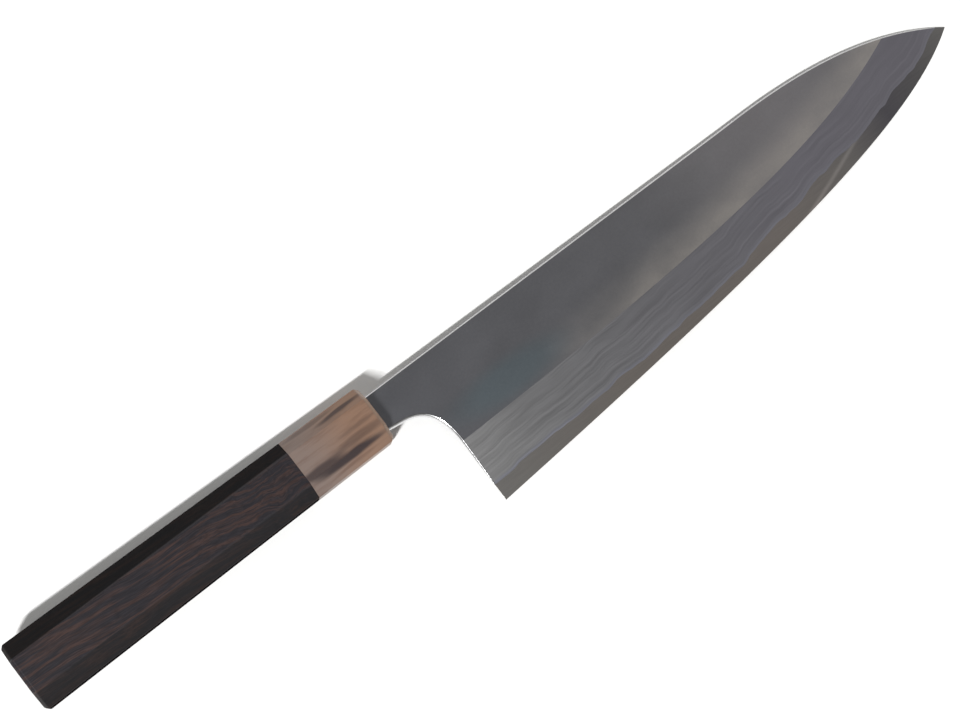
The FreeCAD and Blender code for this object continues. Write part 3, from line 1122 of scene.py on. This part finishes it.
@dataclass(frozen=True)
class DowelWood(Finish):
    """Magnolia wood, turned and left raw: pale and dull, with faint straight grain."""

    name: str = "raw_magnolia"
    roughness: float = 0.7
    tones: Tones = ((0.35, "#b3966a"), (0.65, "#cdb38a"))

    def paint(self, add: Add, point: Socket) -> Inputs:
        """Adds the grain."""
        grain = grains(add, point, (18.0, 0.9, 0.9), 4.0)
        return {"Base Color": add("ValToRGB", grain, stops=self.tones),
                "Normal": add("Bump", 0.3, 0.0001, Height=grain)}


@dataclass(frozen=True)
class CastResin(Finish):
    """Dark epoxy resin, cast and left as it set: a smooth, soft gloss with a few dull spots."""

    name: str = "dark_epoxy"
    roughness: float = 0.4
    tones: Tones = ((0.35, "#332c27"), (0.65, "#4a4038"))

    def paint(self, add: Add, point: Socket) -> Inputs:
        """Adds faint clouds and the dull spots."""
        cloud = grains(add, point, (2.5, 2.5, 2.5), 3.0)
        return {"Base Color": add("ValToRGB", cloud, stops=self.tones),
                "Roughness": add("MapRange", cloud, 0.3, 0.7, 0.3, 0.5)}


# ---- the sub-assemblies --------------------------------------------------------------------


@dataclass
class Blade:
    """Core and claddings of the blade, dressed."""

    knife: KnifeFrame
    shape: BladeShape
    rim: RimSizes

    def _layer(self, name: str, solid: Solid, finishes: list[bpy.types.Material],
               bands: tuple[int, ...]) -> bpy.types.Object:
        """Makes an object of one layer.

        Args:
            name: the piece's name.
            solid: its shape.
            finishes: its materials.
            bands: which of them each band takes, in the order of Band.

        Returns:
            The object, in the part's frame.
        """
        mesh = bpy.data.meshes.new(name)
        mesh.from_pydata([self.knife.point(*c) for c in solid.corners], [], solid.faces)
        mesh.polygons.foreach_set("use_smooth", [True] * len(solid.faces))
        mesh.polygons.foreach_set("material_index", [bands[f] for f in solid.finish])
        for material in finishes:
            mesh.materials.append(material)
        mesh.normals_split_custom_set([self.knife.direction(*n) for own in solid.normals
                                        for n in own])
        lines = self.shape.distances(solid.corners[:, :2]).astype(np.float32)
        mesh.attributes.new("blade_lines", "FLOAT_VECTOR", "POINT").data.foreach_set(
            "vector", lines.ravel())
        mesh.update()
        return new_object(name, mesh)

    def build(self) -> None:
        """Builds the three layers and settles them."""
        steel = BladeSteel(BladePlan(self.shape, self.rim))
        flat, bevel, rim, core = (kind().make(self.knife) for kind in
                                  (FlatSteel, BevelSteel, PolishedSteel, CoreSteel))
        right = steel.cladding()
        for side, solid in ((Side.RIGHT, right), (Side.LEFT, right.mirrored())):
            node = "cladding_" + side.name.lower()
            settle(self._layer("soft_" + node, solid, [flat, bevel, rim], (0, 1, 2, 1, 0)),
                   node)
        settle(self._layer("hard_core", steel.hard_core(), [core, rim], (0, 0, 1, 0, 0)),
               "core_steel")


@dataclass
class Handle:
    """Horn ferrule and ebony body."""

    knife: KnifeFrame
    shape: HandleShape

    def _bar(self, name: str, stations: list[tuple[float, float]],
             hollows: list[list[list[Place]]], finish: Finish) -> bpy.types.Object:
        """Makes a hollowed bar through eight-sided rings.

        Args:
            name: the piece's name.
            stations: x and inset of each ring, from butt to front.
            hollows: the rings of what is cut away.
            finish: its surface.

        Returns:
            The object.
        """
        piece = prism(name, [self.shape.ring(*station) for station in stations], self.knife)
        finish_mesh(piece, [prism("cutter", rings, self.knife) for rings in hollows],
                    finish.make(self.knife))
        return piece

    def build(self) -> None:
        """Builds the horn collar and the ebony body and settles them."""
        shape = self.shape
        joint, soft = -shape.ferrule_length, shape.joint_break
        stations = [(joint, soft), (joint + soft, 0.0), (joint + 1.0, 0.0)]
        stations += broken_edge(0.0, shape.front_chamfer, -1.0)[::-1]
        settle(self._bar("horn_collar", stations,
                         [shape.bore(joint - 1.0, -shape.mouth_wall), shape.mouth()],
                         BuffaloHorn()), "horn_ferrule")
        stations = broken_edge(-shape.handle_length, shape.butt_chamfer, 1.0)
        stations += [(joint - 1.0, 0.0), (joint - soft, 0.0), (joint, soft)]
        settle(self._bar("ebony_body", stations, [shape.bore(shape.bore_end, joint + 1.0)],
                         Ebony()), "ebony_handle")


@dataclass
class InnerParts:
    """CAD pieces inside the handle, which keep their shape and get their finish."""

    knife: KnifeFrame
    nodes: dict[str, bpy.types.Object]

    def dress(self) -> None:
        """Gives the dowel halves, the bedding and the seal their finish."""
        wood = DowelWood().make(self.knife)
        resin = CastResin().make(self.knife)
        for name, material in (("dowel_right", wood), ("dowel_left", wood),
                               ("tang_bedding", resin), ("mouth_seal", resin)):
            for slot in self.nodes[name].material_slots:
                slot.material = material
            LOG.info("%s: dressed as %s", name, material.name)


@dataclass
class Studio:
    """Pale floor, soft light and the camera."""

    knife: KnifeFrame
    floor_size: float = 6.0
    lens: float = 96.18
    eye: Place = (-96.35, -63.08, 787.2)
    target: Place = (36.58, -6.13, 0.0)
    up: Place = (0.5948, 0.7883, 0.1574)
    # the key light is a strip towards the butt and a little on the edge side
    key_from: Place = (-0.62, -0.24, 1.0)
    key_distance: float = 2.5
    key_size: tuple[float, float] = (0.45, 0.08)
    key_power: float = 62.0
    room: float = 0.09
    backdrop: float = 0.93
    # soft bright patches of the room: direction, half angles of rim and heart, strength
    glows: tuple[tuple[Place, float, float, float], ...] = (
        ((0.3, 0.7, 0.68), 40.0, 14.0, 0.8), ((0.85, -0.1, 0.5), 48.0, 12.0, 0.6),
        ((-0.4, -0.85, 0.5), 40.0, 12.0, 0.4))

    def floor(self) -> None:
        """Lays the floor at the height that the knife rests on."""
        half, low = self.floor_size / 2, CAD_BOX[0].z
        mesh = bpy.data.meshes.new("floor")
        mesh.from_pydata([(-half, -half, low), (half, -half, low), (half, half, low),
                          (-half, half, low)], [], [(0, 1, 2, 3)])
        material = bpy.data.materials.new("matt_paper")
        material.use_nodes = True
        inputs = material.node_tree.nodes["Principled BSDF"].inputs
        inputs["Base Color"].default_value = colour("#fbfbfa")
        inputs["Roughness"].default_value = 0.9
        inputs["Specular IOR Level"].default_value = 0.1
        mesh.materials.append(material)
        new_object("floor", mesh)

    def sky(self) -> None:
        """A dim room with large soft glows, seen as a pale backdrop."""
        world = bpy.data.worlds.new("studio")
        bpy.context.scene.world = world
        world.use_nodes = True
        tree = world.node_tree
        add = partial(add_node, tree)
        seen = add("TexCoord", out="Generated")
        total: Any = self.room
        for centre, rim, heart, strength in self.glows:
            turn = add("VectorMath DOT_PRODUCT", seen, self.knife.direction(*centre))
            share = add("MapRange", turn, math.cos(math.radians(rim)),
                        math.cos(math.radians(heart)), 0.0, strength, **SMOOTH)
            total = add("Math ADD", total, share)
        shown = add("LightPath", out="Is Camera Ray")
        back = tree.nodes["Background"].inputs
        feed(tree, back["Color"], "#fdfcfa")
        feed(tree, back["Strength"], add("Mix", shown, total, self.backdrop, data_type="FLOAT"))

    def hang(self, data: bpy.types.ID, place: Vector, back: Vector, up: Vector
             ) -> bpy.types.Object:
        """Hangs a light or camera so that its back points one way and its top near another."""
        right = up.cross(back).normalized()
        thing = new_object(data.name, data)
        thing.matrix_world = (Matrix.Translation(place)
                              @ Matrix((right, back.cross(right), back)).transposed().to_4x4())
        return thing

    def key(self) -> None:
        """Hangs the key light, a strip along the knife."""
        data = bpy.data.lights.new("key", "AREA")
        data.shape = "RECTANGLE"
        data.size, data.size_y = self.key_size
        data.energy = self.key_power
        back = self.knife.direction(*self.key_from)
        self.hang(data, back * self.key_distance, back, self.knife.direction(0.0, 1.0, 0.0))

    def camera(self) -> None:
        """Sets up the camera."""
        data = bpy.data.cameras.new("camera")
        data.lens = self.lens
        data.sensor_width = 36.0
        data.clip_start = 0.01
        data.clip_end = 50.0
        eye = self.knife.point(*self.eye)
        back = (eye - self.knife.point(*self.target)).normalized()
        camera = self.hang(data, eye, back, self.knife.direction(*self.up))
        bpy.context.scene.camera = camera

    def build(self) -> None:
        """Builds the whole studio."""
        self.floor()
        self.sky()
        self.key()
        self.camera()
        bpy.context.scene.view_settings.view_transform = "Standard"


def main() -> None:
    """Builds the knife and the studio, piece by piece."""
    logging.basicConfig(level=logging.INFO, format="%(name)s %(message)s")
    blade_shape = BladeShape()
    handle_shape = HandleShape()
    knife = KnifeFrame.from_mounts(blade_shape, handle_shape)
    Blade(knife, blade_shape, RimSizes()).build()
    Handle(knife, handle_shape).build()
    InnerParts(knife, frame["nodes"]).dress()
    Studio(knife).build()


if __name__ == "__main__":
    main()
